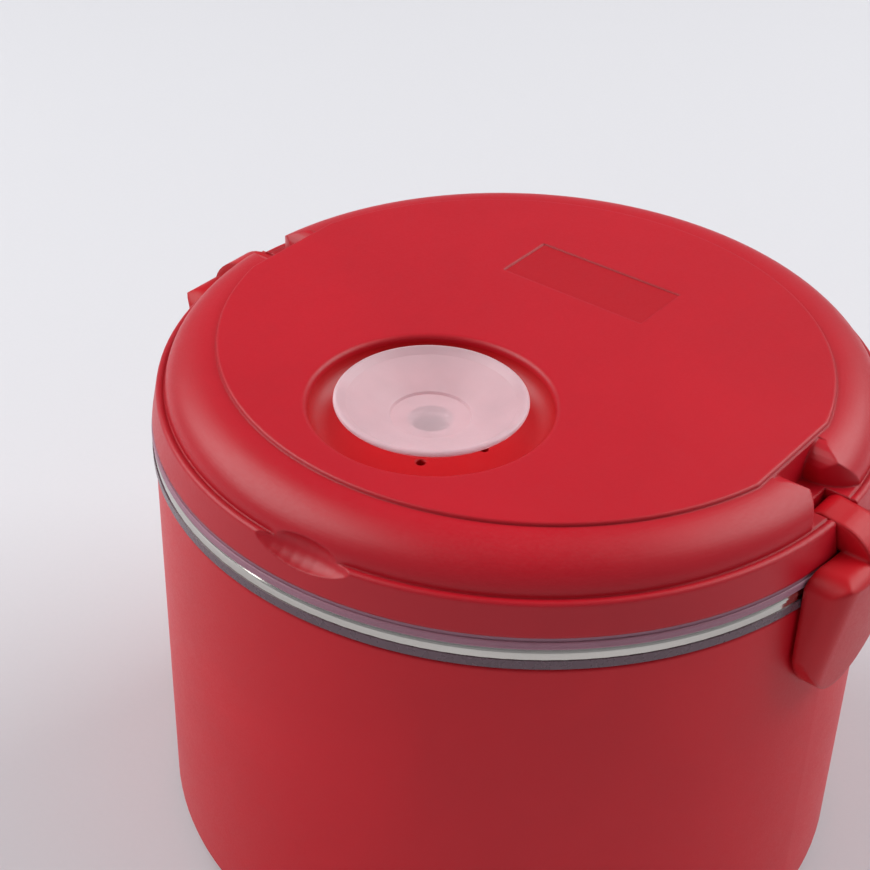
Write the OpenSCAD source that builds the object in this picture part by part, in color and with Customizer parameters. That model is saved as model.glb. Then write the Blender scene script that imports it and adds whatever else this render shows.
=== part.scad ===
// Electric lunch box: a heated round carrier with a lift-out steel bowl and
// a lift-off lid that two side latches hold down on the bowl ring.
// Millimetres, +Z up, origin on the table under the centre of the housing.
// The thumb notch of the lid faces -Y, the latches are on +X and -X, and the
// mains inlet is at the back, +Y.

/* [Housing] */
// Outside diameter of the red housing
housing_d = 168; // [156:1:202]
// Height of the seat of the bowl ring above the table
seat_z = 105; // [90:1:140]
// Wall thickness of the moulded housing
housing_wall = 2.4; // [1.8:0.1:3]
// Air gap between the housing wall and the heated well
air_gap = 2.6; // [2:0.1:6]
// Height of the rubber feet
foot_h = 3.5; // [2:0.5:6]
// Height of the heated well's floor above the table
well_floor_z = 30; // [29:0.5:40]
// Height at which the base cover meets the housing
seam_z = 6.5; // [6:0.5:8]

/* [Bowl] */
// Sheet thickness of the steel bowl
bowl_wall = 0.8; // [0.5:0.1:1.2]
// Sheet thickness of the heated well
well_wall = 0.8; // [0.6:0.1:1.2]
// Gap between the bowl and the well around it
bowl_gap = 1.6; // [1:0.1:3]
// Inward draft of the bowl wall from mouth to floor
bowl_draft = 2.6; // [1:0.1:6]
// Radius between the wall and the floor of the bowl
bowl_corner = 14; // [8:0.5:20]
// Height of the smoky ring under the bowl's rim
ring_h = 2.5; // [2:0.1:4]
// Height of the steel rim band of the bowl
rim_h = 2.9; // [2.4:0.1:5]

/* [Lid] */
// Height of the silicone gasket that shows under the lid
gasket_h = 2.4; // [1.8:0.1:4]
// Height of the lid's side band
band_h = 7.5; // [6.5:0.1:10]
// Rise of the top panel above the ledge of the band
panel_rise = 8.7; // [7:0.1:12]
// Wall thickness of the moulded lid
lid_wall = 2.4; // [1.8:0.1:3]
// Distance from the ring's edge in to the crease under the shoulder
ledge_w = 3.6; // [3.4:0.1:5]
// Width of each crescent shoulder at its middle
shoulder_w = 13.2; // [10:0.1:16]
// Shift of the two panel arcs that makes the panel lens shaped
panel_shift = 4; // [2:0.1:6]
// Half length of the straight panel edge at each latch
flat_half = 14.4; // [11:0.1:18]
// Half width of the gap between the crescents at each latch
valley_half = 4.6; // [4.2:0.1:6]
// Width of the thumb notch in the front of the band
notch_w = 31; // [24:1:36]
// Depth of the thumb notch
notch_depth = 4; // [3:0.1:5]
// Angle of the thumb notch from the front, toward the right
notch_angle = 4; // [-10:0.5:10]
// Length of the bare label recess
label_l = 39; // [30:0.5:46]
// Width of the bare label recess
label_w = 16.8; // [12:0.1:22]

/* [Vent] */
// Diameter of the vent button
vent_d = 42.4; // [35:0.2:51]
// Gap between the button's rim and the recess wall around it
recess_gap = 5.7; // [4.6:0.1:8]
// Flat panel left between the vent recess and the panel's front edge
vent_margin = 6.7; // [3:0.1:9]
// Depth of the recess floor below the panel
recess_depth = 6.1; // [6:0.1:7]
// Press travel of the button
vent_travel = 2.5; // [1.5:0.1:2.8]
// Diameter of the button's stem
stem_d = 10; // [8:0.2:12]
// Diameter of each steam hole
steam_hole_d = 2.2; // [1.4:0.1:3]
// Number of steam holes in the recess floor
steam_holes = 6; // [4:1:8]

/* [Latches] */
// Width of a latch plate
latch_w = 32.6; // [27:0.2:39]
// How far a latch plate hangs below the seat of the bowl ring
latch_drop = 26.3; // [22:0.1:32]
// Thickness of a latch plate at its top
latch_top_t = 9.2; // [8:0.1:11]
// Thickness of a latch plate at its tip
latch_tip_t = 3.4; // [3:0.1:5]
// Diameter of a latch pin
pin_d = 2.5; // [2:0.1:3]
// How deep a latch hook reaches under its catch
hook_bite = 1.4; // [1:0.1:1.6]

/* [Heater] */
// Diameter of the heating plate's top face
plate_d = 100; // [84:1:120]
// Mean diameter of the ring heater under the plate
element_d = 68; // [60:1:76]
// Diameter of the ring heater's sheath
sheath_d = 6.6; // [5:0.2:8]

/* [Inlet] */
// Width of the mains inlet's mouth
inlet_w = 24.2; // [22:0.2:27]
// Height of the mains inlet's mouth
inlet_h = 16.2; // [15:0.2:17]
// Distance between the two inlet screws
inlet_pitch = 40; // [38:0.5:42]

/* [Fits] */
// Gap between a piece at rest and the piece of another body that carries it
rest_gap = 0.3; // [0.2:0.05:0.4]
// Radial running clearance of a pin or stem in its bore
run_fit = 0.05; // [0.02:0.01:0.1]

/* [Hidden] */
$fn = 96;

RED = [0.78, 0.13, 0.18];
STEEL = [0.80, 0.80, 0.78];
SMOKE = [0.47, 0.40, 0.45];
eps = 0.01;
far = 400;

// Radii, from the housing inward
housing_r = housing_d / 2;
ring_proud = 0.6;
ring_r = housing_r + ring_proud;
housing_in_r = housing_r - housing_wall;
well_r = housing_in_r - air_gap;
well_in_r = well_r - well_wall;
bowl_r = well_in_r - bowl_gap;
bowl_in_r = bowl_r - bowl_wall;

// Levels, from the table upward
lip_top_z = seat_z - rest_gap;
base_t = 2.4;
base_top_z = foot_h + base_t;
spigot_h = 3;
plate_proud = 4.3;
plate_top_z = well_floor_z + plate_proud;
rim_bot_z = seat_z + ring_h;
rim_top_z = seat_z + ring_h + rim_h;
gasket_bot_z = rim_top_z + rest_gap;
band_bot_z = gasket_bot_z + gasket_h;
ledge_z = band_bot_z + band_h;
panel_z = ledge_z + panel_rise;
recess_floor_z = panel_z - recess_depth;

// Lid outline
band_r = ring_r - 0.3;
crease_r = ring_r - ledge_w;
panel_front = crease_r - shoulder_w;
panel_r = panel_front + panel_shift;
flat_x = sqrt(pow(panel_r, 2) - pow(flat_half + panel_shift, 2));
crease_z = ledge_z - 0.3;
shoulder_a = shoulder_w - 2.2;
panel_step = 0.8;
shoulder_b = panel_z - panel_step - crease_z;
shoulder_cr = crease_r - shoulder_a;
panel_edge = 0.5;
valley_round = 9;
valley_end_x = crease_r - 9;
valley_soft = 5;

// Latch hinge and plate
pin_x = crease_r - 1.7;
pin_z = band_bot_z + 4.1;
boss_r = 3.4;
arm_half = valley_half - 0.4;
slot_x = pin_x - boss_r - 0.5;
pin_half = arm_half + 8;
plate_in_r = ring_r + 0.4;
plate_top_r = plate_in_r + latch_top_t;
plate_corner = 4.5;
plate_front_r = 120;
plate_slack = 0.4;
latch_top_z = band_bot_z + 0.9;
latch_tip_z = seat_z - latch_drop;
latch_wall = 2.2;
latch_half = latch_w / 2;
plate_slope = (latch_top_t - latch_tip_t) / (latch_top_z - latch_tip_z);

// Catch tabs on the bowl ring, and the hook under them
tab_half = 9;
tab_in_r = housing_r + rest_gap;
tab_r = tab_in_r + 2;
catch_r = tab_r + rest_gap + hook_bite;
hook_half = 6;
hook_r = tab_r + rest_gap;
hook_z = seat_z - 9.6;
hook_slope = tan(40);
hook_lift = 0.45;

// Vent
vent_r = vent_d / 2;
recess_r = vent_r + recess_gap;
recess_lip = 1.2;
recess_sweep = 5.5;
vent_y = panel_front - vent_margin - recess_lip - recess_r;
stem_r = stem_d / 2;
guide_r = stem_r + run_fit;
guide_bot_z = recess_floor_z - 7.2;
groove_z = guide_bot_z + vent_travel + 1.4;
vent_proud = 1.3;
vent_top_z = panel_z + vent_proud;
vent_lip_t = 1.5;
dish_r = vent_r * 0.41;
dish_drop = 5.3;
dish_t = 1;
pocket_r = dish_r + 1.6;
pocket_z = vent_top_z - dish_drop - dish_t - vent_travel - 0.4;
pocket_rim_r = pocket_r + 2.7;
liner_top_z = band_bot_z + 0.3;
liner_t = 1.8;
liner_bot_z = liner_top_z - liner_t;
neck_r = stem_r - 1.8;
seat_r = stem_r + 1.6;
plug_r = seat_r + 3;
plug_t = 3.3;

// Heating unit
flange_t = 2.4;
plate_bot_z = well_floor_z - flange_t;
plate_r = plate_d / 2;
element_r = element_d / 2;
element_z = plate_bot_z - sheath_d / 2;
element_gap = 25;
element_end = [element_r * cos(element_gap), element_r * sin(element_gap)];
clamp_t = 1.2;
clamp_z = plate_bot_z - sheath_d - clamp_t;
stud_r = 2.5;
nut_h = 4;
shield_z = foot_h + 8.5;
shield_r = plate_r + 8;
shield_t = 0.8;
shield_post_r = 2;
shield_post_at = plate_r + 1;
shield_post_angles = [-30, 210, 90];
wire_r = 1.1;
wire_z = (shield_z + shield_t + clamp_z) / 2 + 0.4;
thermostat_x = 17;
thermostat_r = 7.8;
fuse_x = -17;
fuse_half = 12;
fuse_r = 2;

// Mains inlet, at the back
inlet_z = well_floor_z - 10.5;
inlet_flat_y = sqrt(pow(housing_r, 2) - pow(inlet_pitch / 2 + 5, 2)) - 1.7;
inlet_flange_t = 1.7;
inlet_wall = 1.8;
inlet_back_y = inlet_flat_y - 18.5;
inlet_floor_y = inlet_back_y + 3;
pin_back_y = inlet_back_y - 2.5;
pin_front_y = inlet_flat_y - 1;
blade_pitch = 14;
earth_rise = 4;

// Base fixings
boss_at = housing_in_r - 6.1;
post_r = 4;
screw_r = 1.5;
foot_at = housing_r - 22;
foot_r = 7;
lamp_angle = 57;
lens_r = 3.5;

// Points of an arc in the XZ or XY plane, centre (cx, cy)
function arc(cx, cy, r, a0, a1, n) =
    [for (i = [0 : n]) [cx + r * cos(a0 + (a1 - a0) * i / n),
                        cy + r * sin(a0 + (a1 - a0) * i / n)]];

// Points of an ellipse quarter from its side (radius a) to its crown (height b)
function crown(cx, cz, a, b, n) =
    [for (i = [0 : n]) [cx + a * cos(90 * i / n), cz + b * sin(90 * i / n)]];

// Repeats its children round the Z axis at the given angles
module at_angles(angles) {
    for (a = angles) {
        rotate([0, 0, a]) {
            children();
        }
    }
}

// A tube from r_in to r_out between two levels
module tube(r_in, r_out, z0, z1) {
    translate([0, 0, z0]) {
        difference() {
            cylinder(h = z1 - z0, r = r_out);
            translate([0, 0, -1]) {
                cylinder(h = z1 - z0 + 2, r = r_in);
            }
        }
    }
}

// A flat bar standing at y = y0 .. y1, given by its outline in X and Z
module across(y0, y1) {
    translate([0, y1, 0]) {
        rotate([90, 0, 0]) {
            linear_extrude(height = y1 - y0) {
                children();
            }
        }
    }
}

// A piece of wire through a list of points; the corners bulge a little
module wire(points) {
    for (i = [0 : len(points) - 2]) {
        d = points[i + 1] - points[i];
        translate(points[i]) {
            rotate([0, acos(d[2] / norm(d)), atan2(d[1], d[0])]) {
                cylinder(h = norm(d), r = wire_r, $fn = 24);
            }
        }
    }
    for (i = [1 : 1 : len(points) - 2]) {
        translate(points[i]) {
            rotate([20, 35, 50]) {
                sphere(r = wire_r + 0.15, $fn = 24);
            }
        }
    }
}

// ---- Housing and base ----

module housing() {
    edge = 0.8;
    lip_t = 2.6;
    step_w = 2;
    pad_half = inlet_pitch / 2 + 8;
    color(RED) difference() {
        union() {
            rotate_extrude() {
                polygon(concat(
                    [[housing_in_r, seam_z], [housing_r, seam_z]],
                    arc(housing_r - edge, lip_top_z - edge, edge, 0, 90, 5),
                    [[well_r + step_w + 0.2, lip_top_z],
                     [well_r + step_w + 0.2, lip_top_z - well_wall - 0.3],
                     [well_r + 0.2, lip_top_z - well_wall - 0.3],
                     [well_r + 0.2, lip_top_z - lip_t - 1],
                     [housing_in_r, lip_top_z - lip_t - 1 - air_gap]]));
            }
            at_angles([45, 135, 225, 315]) {
                screw_post();
            }
            // Flat pad that carries the inlet
            intersection() {
                translate([-pad_half, inlet_flat_y - housing_wall, seam_z]) {
                    cube([2 * pad_half, 20, inlet_z + 12 - seam_z]);
                }
                cylinder(h = far, r = housing_r - 0.5);
            }
        }
        // Recess of the inlet in the round wall
        translate([-inlet_pitch / 2 - 5.4, inlet_flat_y, inlet_z - 10.4]) {
            cube([inlet_pitch + 10.8, 20, 20.8]);
        }
        translate([-inlet_w / 2 - inlet_wall, 0, inlet_z - inlet_h / 2 - inlet_wall]) {
            cube([inlet_w + 2 * inlet_wall, far, inlet_h + 2 * inlet_wall]);
        }
        inlet_screw_places() {
            cylinder(h = 30, r = screw_r, center = true);
        }
        lamp_place() {
            cylinder(h = 40, r = lens_r + 0.05, center = true);
        }
    }
}

// One post inside the wall that takes a base screw
module screw_post() {
    z0 = base_top_z + spigot_h + 0.4;
    difference() {
        union() {
            translate([boss_at, 0, z0]) {
                cylinder(h = well_floor_z - 3 - z0, r = post_r);
            }
            translate([boss_at, -1, z0]) {
                cube([housing_in_r - boss_at + 0.5, 2, well_floor_z - 3 - z0]);
            }
        }
        translate([boss_at, 0, z0 - 1]) {
            cylinder(h = 13, r = screw_r);
        }
    }
}

module base_cover() {
    round_r = seam_z - foot_h;
    spigot_r = housing_in_r - 0.1;
    boss_top = base_top_z + spigot_h + 0.3;
    color(RED) difference() {
        union() {
            rotate_extrude() {
                polygon(concat(
                    [[0, foot_h]],
                    arc(housing_r - round_r, seam_z, round_r, -90, 0, 8),
                    [[spigot_r, seam_z], [spigot_r, base_top_z + spigot_h],
                     [spigot_r - 1.8, base_top_z + spigot_h],
                     [spigot_r - 1.8, base_top_z], [0, base_top_z]]));
            }
            at_angles([45, 135, 225, 315]) {
                translate([boss_at, 0, base_top_z - eps]) {
                    cylinder(h = boss_top - base_top_z + eps, r = post_r);
                }
            }
            at_angles([0, 90]) {
                translate([-foot_at, -1, base_top_z - eps]) {
                    cube([2 * foot_at, 2, 2]);
                }
            }
        }
        at_angles([45, 135, 225, 315]) {
            translate([boss_at, 0, 0]) {
                cylinder(h = far, r = screw_r + 0.1);
                cylinder(h = foot_h + 1.8, r = 3.2);
            }
            translate([foot_at, 0, 0]) {
                cylinder(h = far, r = 2.5);
            }
        }
        // Room for the posts that the spigot would meet, and for the inlet
        translate([-inlet_pitch / 2 - 8.5, housing_in_r - 12, seam_z]) {
            cube([inlet_pitch + 17, 20, 20]);
        }
        // Cooling slots in the middle of the base
        at_angles([for (i = [0 : 7]) 22.5 + i * 45]) {
            translate([24, -1.5, 0]) {
                cube([18, 3, far]);
            }
        }
    }
}

module base_screws() {
    color(STEEL) at_angles([45, 135, 225, 315]) {
        translate([boss_at, 0, foot_h + 0.4]) {
            difference() {
                union() {
                    cylinder(h = 1.4, r = 2.9);
                    cylinder(h = 15, r = screw_r - 0.02);
                }
                translate([0, 0, -1]) {
                    cylinder(h = 1.8, r = 1.4, $fn = 6);
                }
            }
        }
    }
}

module feet() {
    color([0.15, 0.15, 0.15]) at_angles([45, 135, 225, 315]) {
        translate([foot_at, 0, 0]) {
            cylinder(h = foot_h, r1 = foot_r - 0.6, r2 = foot_r);
            cylinder(h = foot_h + 3.4, r = 2.5);
        }
    }
}

// ---- Heated well and heating unit ----

module well() {
    corner = 9;
    flange_z = lip_top_z - well_wall - 0.3;
    hole_r = plate_r + 0.3;
    color([0.72, 0.73, 0.74]) rotate_extrude() {
        polygon(concat(
            [[hole_r, well_floor_z]],
            arc(well_r - corner, well_floor_z + corner, corner, -90, 0, 8),
            [[well_r, flange_z], [well_r + 1.9, flange_z],
             [well_r + 1.9, flange_z + well_wall], [well_in_r, flange_z + well_wall]],
            arc(well_r - corner, well_floor_z + corner, corner - well_wall, 0, -90, 8),
            [[hole_r, well_floor_z + well_wall]]));
    }
}

module heat_plate() {
    color([0.66, 0.67, 0.68]) {
        rotate_extrude() {
            polygon([[0, plate_bot_z], [plate_r + 5, plate_bot_z],
                     [plate_r + 5, well_floor_z], [plate_r, well_floor_z],
                     [plate_r, plate_top_z - 0.8], [plate_r - 0.8, plate_top_z],
                     [0, plate_top_z]]);
        }
        translate([0, 0, clamp_z - nut_h - 1]) {
            cylinder(h = plate_bot_z - clamp_z + nut_h + 1 + eps, r = stud_r);
        }
        at_angles(shield_post_angles) {
            translate([shield_post_at, 0, shield_z - 3]) {
                cylinder(h = plate_bot_z - shield_z + 3 + eps, r = shield_post_r);
            }
        }
    }
}

module heater_element() {
    color([0.55, 0.55, 0.56]) {
        rotate([0, 0, element_gap - 3]) {
            rotate_extrude(angle = 366 - 2 * element_gap) {
                translate([element_r, element_z]) {
                    circle(d = sheath_d, $fn = 48);
                }
            }
        }
        for (s = [-1, 1]) {
            translate([element_end[0], s * element_end[1], wire_z - 1]) {
                cylinder(h = element_z - wire_z + 1, r = 1.2, $fn = 32);
            }
        }
    }
}

module element_clamp() {
    color(STEEL) difference() {
        translate([-7, -element_r - 7, clamp_z]) {
            cube([14, 2 * element_r + 14, clamp_t]);
        }
        translate([0, 0, clamp_z - 1]) {
            cylinder(h = clamp_t + 2, r = stud_r + 0.1);
        }
    }
}

module clamp_nut() {
    color(STEEL) translate([0, 0, clamp_z - nut_h]) {
        difference() {
            cylinder(h = nut_h, r = 4.6, $fn = 6);
            translate([0, 0, -1]) {
                cylinder(h = nut_h + 2, r = stud_r + 0.02);
            }
        }
    }
}

module thermostat() {
    body_h = plate_bot_z - wire_z - wire_r - 0.3;
    color([0.2, 0.18, 0.17]) translate([thermostat_x, 0, plate_bot_z - body_h]) {
        cylinder(h = body_h - 1.5, r = thermostat_r - 0.6);
        translate([0, 0, body_h - 2.5]) {
            cylinder(h = 2.5, r = thermostat_r);
        }
        for (s = [-1, 1]) {
            translate([-2.4, s * 4.5 - 0.4, -(plate_bot_z - body_h - wire_z)]) {
                cube([4.8, 0.8, plate_bot_z - body_h - wire_z + 1]);
            }
        }
    }
}

module thermal_fuse() {
    lead_r = 0.5;
    fuse_z = plate_bot_z - fuse_r;
    color([0.85, 0.85, 0.8]) {
        translate([fuse_x, 0, fuse_z]) {
            rotate([90, 0, 0]) {
                cylinder(h = 11, r = fuse_r, center = true);
                cylinder(h = 2 * fuse_half, r = lead_r, center = true, $fn = 24);
            }
        }
        for (s = [-1, 1]) {
            translate([fuse_x, s * fuse_half, wire_z + wire_r + 0.2]) {
                cylinder(h = fuse_z - wire_z - wire_r - 0.2, r = lead_r, $fn = 24);
            }
            translate([fuse_x, s * fuse_half, fuse_z]) {
                sphere(r = lead_r, $fn = 24);
            }
        }
    }
}

// A strap under the fuse, with a foot that lies against the plate
module fuse_clip() {
    gap = 0.05;
    r = fuse_r + gap;
    fuse_z = plate_bot_z - fuse_r;
    color(STEEL) across(-2.5, 2.5) {
        difference() {
            union() {
                translate([fuse_x, fuse_z]) {
                    circle(r = r + 0.6, $fn = 48);
                }
                translate([fuse_x - r - 0.6, fuse_z]) {
                    square([2 * r + 1.2, fuse_r]);
                }
                translate([fuse_x - r - 7, plate_bot_z - 0.6]) {
                    square([7.3, 0.6]);
                }
            }
            translate([fuse_x, fuse_z]) {
                circle(r = r, $fn = 48);
            }
            translate([fuse_x - r, fuse_z]) {
                square([2 * r, fuse_r + 1]);
            }
        }
    }
}

module heat_shield() {
    lip = 2.4;
    color([0.7, 0.71, 0.72]) difference() {
        rotate_extrude() {
            polygon([[0, shield_z], [shield_r, shield_z],
                     [shield_r, shield_z + lip], [shield_r - shield_t, shield_z + lip],
                     [shield_r - shield_t, shield_z + shield_t], [0, shield_z + shield_t]]);
        }
        at_angles(shield_post_angles) {
            translate([shield_post_at, 0, 0]) {
                cylinder(h = far, r = shield_post_r + 0.1);
            }
        }
    }
}

module shield_nuts() {
    color(STEEL) at_angles(shield_post_angles) {
        translate([shield_post_at, 0, shield_z - 2.6]) {
            difference() {
                cylinder(h = 2.6, r = 3.6, $fn = 6);
                translate([0, 0, -1]) {
                    cylinder(h = 5, r = shield_post_r + 0.02);
                }
            }
        }
    }
}

// ---- Mains inlet, wiring and pilot lamp ----

// Puts its children on the axes of the two inlet screws
module inlet_screw_places() {
    for (s = [-1, 1]) {
        translate([s * inlet_pitch / 2, inlet_flat_y, inlet_z]) {
            rotate([-90, 0, 0]) {
                children();
            }
        }
    }
}

// Mouth of the inlet, with its two cut lower corners
module inlet_mouth(grow) {
    w = inlet_w / 2 + grow;
    h = inlet_h / 2 + grow;
    cut = 4;
    polygon([[-w, h], [w, h], [w, -h + cut], [w - cut, -h], [cut - w, -h], [-w, -h + cut]]);
}

// The three blades, with live and neutral low and earth high
module inlet_blades(grow, y0, y1) {
    for (p = [[-blade_pitch / 2, -2], [blade_pitch / 2, -2], [0, earth_rise - 2]]) {
        translate([p[0] - 1 - grow, y0, inlet_z + p[1] - 2 - grow]) {
            cube([2 + 2 * grow, y1 - y0, 4 + 2 * grow]);
        }
    }
}

module inlet_socket() {
    half = inlet_pitch / 2 + 5;
    color([0.12, 0.12, 0.12]) difference() {
        union() {
            across(inlet_back_y, inlet_flat_y) {
                translate([0, inlet_z]) {
                    square([inlet_w + 2 * inlet_wall - 0.1,
                            inlet_h + 2 * inlet_wall - 0.1], center = true);
                }
            }
            across(inlet_flat_y, inlet_flat_y + inlet_flange_t) {
                translate([0, inlet_z]) {
                    square([2 * half - 10, 20], center = true);
                    for (s = [-1, 1]) {
                        translate([s * (half - 5), 0]) {
                            circle(r = 5);
                        }
                    }
                    square([2 * half - 10, 10], center = true);
                }
            }
        }
        across(inlet_floor_y, far) {
            translate([0, inlet_z]) {
                inlet_mouth(0);
            }
        }
        inlet_blades(0, inlet_back_y - 1, inlet_floor_y + 1);
        inlet_screw_places() {
            cylinder(h = 30, r = screw_r + 0.1, center = true);
        }
    }
}

module inlet_pins() {
    color([0.83, 0.75, 0.5]) {
        inlet_blades(0, pin_back_y, pin_front_y);
    }
}

module inlet_screws() {
    color(STEEL) inlet_screw_places() {
        translate([0, 0, inlet_flange_t]) {
            cylinder(h = 1.3, r1 = 2.8, r2 = 2.2);
        }
        translate([0, 0, -5]) {
            cylinder(h = 5 + inlet_flange_t, r = screw_r - 0.02);
        }
    }
}

// Ring tag on the rear shield post, with a tail to the earth blade
module earth_tag() {
    tag_z = inlet_z + earth_rise - 2;
    color([0.75, 0.6, 0.25]) difference() {
        union() {
            translate([0, shield_post_at, tag_z]) {
                cylinder(h = 0.8, r = 4);
            }
            translate([-1.5, shield_post_at, tag_z]) {
                cube([3, pin_back_y - shield_post_at - 0.2, 0.8]);
            }
        }
        translate([0, shield_post_at, 0]) {
            cylinder(h = far, r = shield_post_r + 0.02);
        }
    }
}

module wire_live() {
    z0 = inlet_z - 2;
    color([0.45, 0.25, 0.12]) wire([
        [-blade_pitch / 2, pin_back_y - 0.2, z0],
        [-blade_pitch / 2, pin_back_y - 5, wire_z],
        [-30, 24, wire_z],
        [fuse_x - 3, fuse_half + 3, wire_z],
        [fuse_x, fuse_half, wire_z]]);
}

module wire_link() {
    color([0.45, 0.25, 0.12]) wire([
        [fuse_x, -fuse_half, wire_z],
        [fuse_x + 20, -fuse_half - 7, wire_z],
        [thermostat_x, -6.7, wire_z]]);
}

module wire_heater() {
    color([0.45, 0.25, 0.12]) wire([
        [thermostat_x + 1, 6.6, wire_z],
        [element_end[0] - 1.6, element_end[1] - 0.6, wire_z]]);
}

module wire_neutral() {
    z0 = inlet_z - 2;
    color([0.15, 0.3, 0.6]) wire([
        [blade_pitch / 2, pin_back_y - 0.2, z0],
        [blade_pitch / 2, pin_back_y - 5, wire_z],
        [element_r + 8, 24, wire_z],
        [element_r + 8, -6, wire_z],
        [element_end[0] + 1.8, -element_end[1], wire_z]]);
}

// Puts its children on the pilot lamp's axis, pointing out through the wall
module lamp_place() {
    rotate([0, 0, lamp_angle]) {
        translate([housing_r, 0, inlet_z]) {
            rotate([0, 90, 0]) {
                children();
            }
        }
    }
}

module pilot_lens() {
    color([0.9, 0.45, 0.1]) lamp_place() {
        translate([0, 0, -5]) {
            cylinder(h = 5.3, r = lens_r);
        }
        translate([0, 0, 0.3 - eps]) {
            cylinder(h = 1.2, r1 = lens_r + 0.7, r2 = lens_r - 1);
        }
        translate([0, 0, -5]) {
            cylinder(h = 2, r = lens_r + 1);
        }
    }
}

module pilot_lamp() {
    color([0.9, 0.8, 0.7]) lamp_place() {
        translate([0, 0, -14]) {
            cylinder(h = 8.7, r = 2.6);
        }
        for (s = [-1, 1]) {
            translate([s, 0, -19]) {
                cylinder(h = 5 + eps, r = 0.4, $fn = 16);
            }
        }
    }
}

// ---- Bowl ----

module bowl() {
    t = bowl_wall;
    floor_z = plate_top_z + rest_gap;
    low_r = bowl_r - bowl_draft;
    round_r = 1.5;
    rim_r = ring_r - 0.2;
    color(STEEL) rotate_extrude() {
        polygon(concat(
            [[0, floor_z]],
            arc(low_r - bowl_corner, floor_z + bowl_corner, bowl_corner, -90, 0, 12),
            [[bowl_r, rim_top_z - t], [rim_r - t, rim_top_z - t],
             [rim_r - t, rim_bot_z], [rim_r, rim_bot_z]],
            arc(rim_r - round_r, rim_top_z - round_r, round_r, 0, 90, 6),
            [[bowl_in_r, rim_top_z]],
            arc(low_r - bowl_corner, floor_z + bowl_corner, bowl_corner - t, 0, -90, 12),
            [[0, floor_z + t]]));
    }
}

// Smoky ring under the steel rim, with a catch tab for each latch
module bowl_ring() {
    edge = 0.4;
    top_z = seat_z + ring_h;
    up_z = rim_top_z - bowl_wall - 0.1;
    up_r = ring_r - 0.2 - bowl_wall - 0.3;
    color(SMOKE) {
        rotate_extrude() {
            polygon([[bowl_r + 0.3, seat_z], [ring_r - edge, seat_z],
                     [ring_r, seat_z + edge], [ring_r, top_z],
                     [up_r, top_z], [up_r, up_z],
                     [bowl_r + 1.6, up_z], [bowl_r + 1.6, top_z],
                     [bowl_r + 0.3, top_z]]);
        }
        at_angles([0, 180]) {
            catch_tab();
        }
    }
}

// A tab that hangs outside the housing wall and ends in the catch
module catch_tab() {
    low = hook_z + hook_lift;
    in_z = low + hook_slope * (tab_r - hook_r);
    out_z = low + hook_slope * (catch_r - hook_r);
    intersection() {
        rotate_extrude() {
            polygon([[tab_in_r, in_z - 0.2], [tab_r, in_z], [catch_r, out_z],
                     [catch_r, out_z + 1.4], [tab_r, out_z + 3.4],
                     [tab_r, seat_z + ring_h - 0.6], [tab_in_r, seat_z + ring_h - 0.6]]);
        }
        translate([0, -tab_half, 0]) {
            cube([far, 2 * tab_half, far]);
        }
    }
}

// ---- Lid ----

// Outer skin of the lid, before the panel and the cut-outs
module lid_skin() {
    edge_r = 0.9;
    band_lean = 1.2;
    rotate_extrude() {
        polygon(concat(
            [[0, band_bot_z], [band_r, band_bot_z]],
            arc(band_r - band_lean - edge_r, ledge_z - edge_r, edge_r, 10, 90, 6),
            [[crease_r + 0.7, ledge_z], [crease_r + 0.3, crease_z]],
            crown(shoulder_cr, crease_z, shoulder_a, shoulder_b, 18),
            [[0, crease_z + shoulder_b]]));
    }
}

// Hollow inside the lid
module lid_hollow() {
    rotate_extrude() {
        polygon(concat(
            [[0, band_bot_z - 1], [band_r - lid_wall, band_bot_z - 1],
             [band_r - lid_wall, band_bot_z + 1], [band_r - lid_wall - 1.2, ledge_z - lid_wall],
             [crease_r - lid_wall, ledge_z - lid_wall]],
            crown(shoulder_cr, crease_z, shoulder_a - lid_wall, shoulder_b - lid_wall, 12),
            [[0, crease_z + shoulder_b - lid_wall]]));
    }
}

// One round disc of the panel, with a rounded top edge
module panel_disc(shift) {
    translate([0, shift, 0]) {
        rotate_extrude() {
            polygon(concat(
                [[0, crease_z], [panel_r, crease_z]],
                arc(panel_r - panel_edge, panel_z - panel_edge, panel_edge, 0, 90, 5),
                [[0, panel_z]]));
        }
    }
}

// The lens-shaped panel: two shifted discs, cut straight at the latches
module panel() {
    intersection() {
        panel_disc(panel_shift);
        panel_disc(-panel_shift);
        across(-far, far) {
            polygon(concat(
                arc(flat_x - panel_edge, panel_z - panel_edge, panel_edge, 0, 90, 5),
                arc(panel_edge - flat_x, panel_z - panel_edge, panel_edge, 90, 180, 5),
                [[-flat_x, crease_z], [flat_x, crease_z]]));
        }
    }
}

// Gap between the two crescents at the right-hand latch
module valley() {
    top = panel_z + 1;
    y1 = valley_half + valley_soft;
    soft_z = panel_z - panel_step - 0.2 - valley_soft;
    translate([flat_x + 0.5, 0, 0]) {
        rotate([90, 0, 90]) {
            linear_extrude(height = 40) {
                polygon(concat(
                    [[-valley_half, ledge_z], [valley_half, ledge_z]],
                    arc(y1, soft_z, valley_soft, 180, 90, 6),
                    [[y1, top], [-y1, top]],
                    arc(-y1, soft_z, valley_soft, 90, 0, 6)));
            }
        }
    }
    translate([0, 0, ledge_z]) {
        linear_extrude(height = 40) {
            difference() {
                translate([valley_end_x, -valley_half - valley_round]) {
                    square([40, 2 * (valley_half + valley_round)]);
                }
                for (s = [-1, 1]) {
                    translate([valley_end_x, s * (valley_half + valley_round)]) {
                        circle(r = valley_round);
                    }
                }
            }
        }
    }
}

// Open slot through the ledge and band in which the latch arm swings
module latch_slot() {
    translate([slot_x, -valley_half, band_bot_z - 1]) {
        cube([40, 2 * valley_half, 40]);
    }
}

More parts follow.
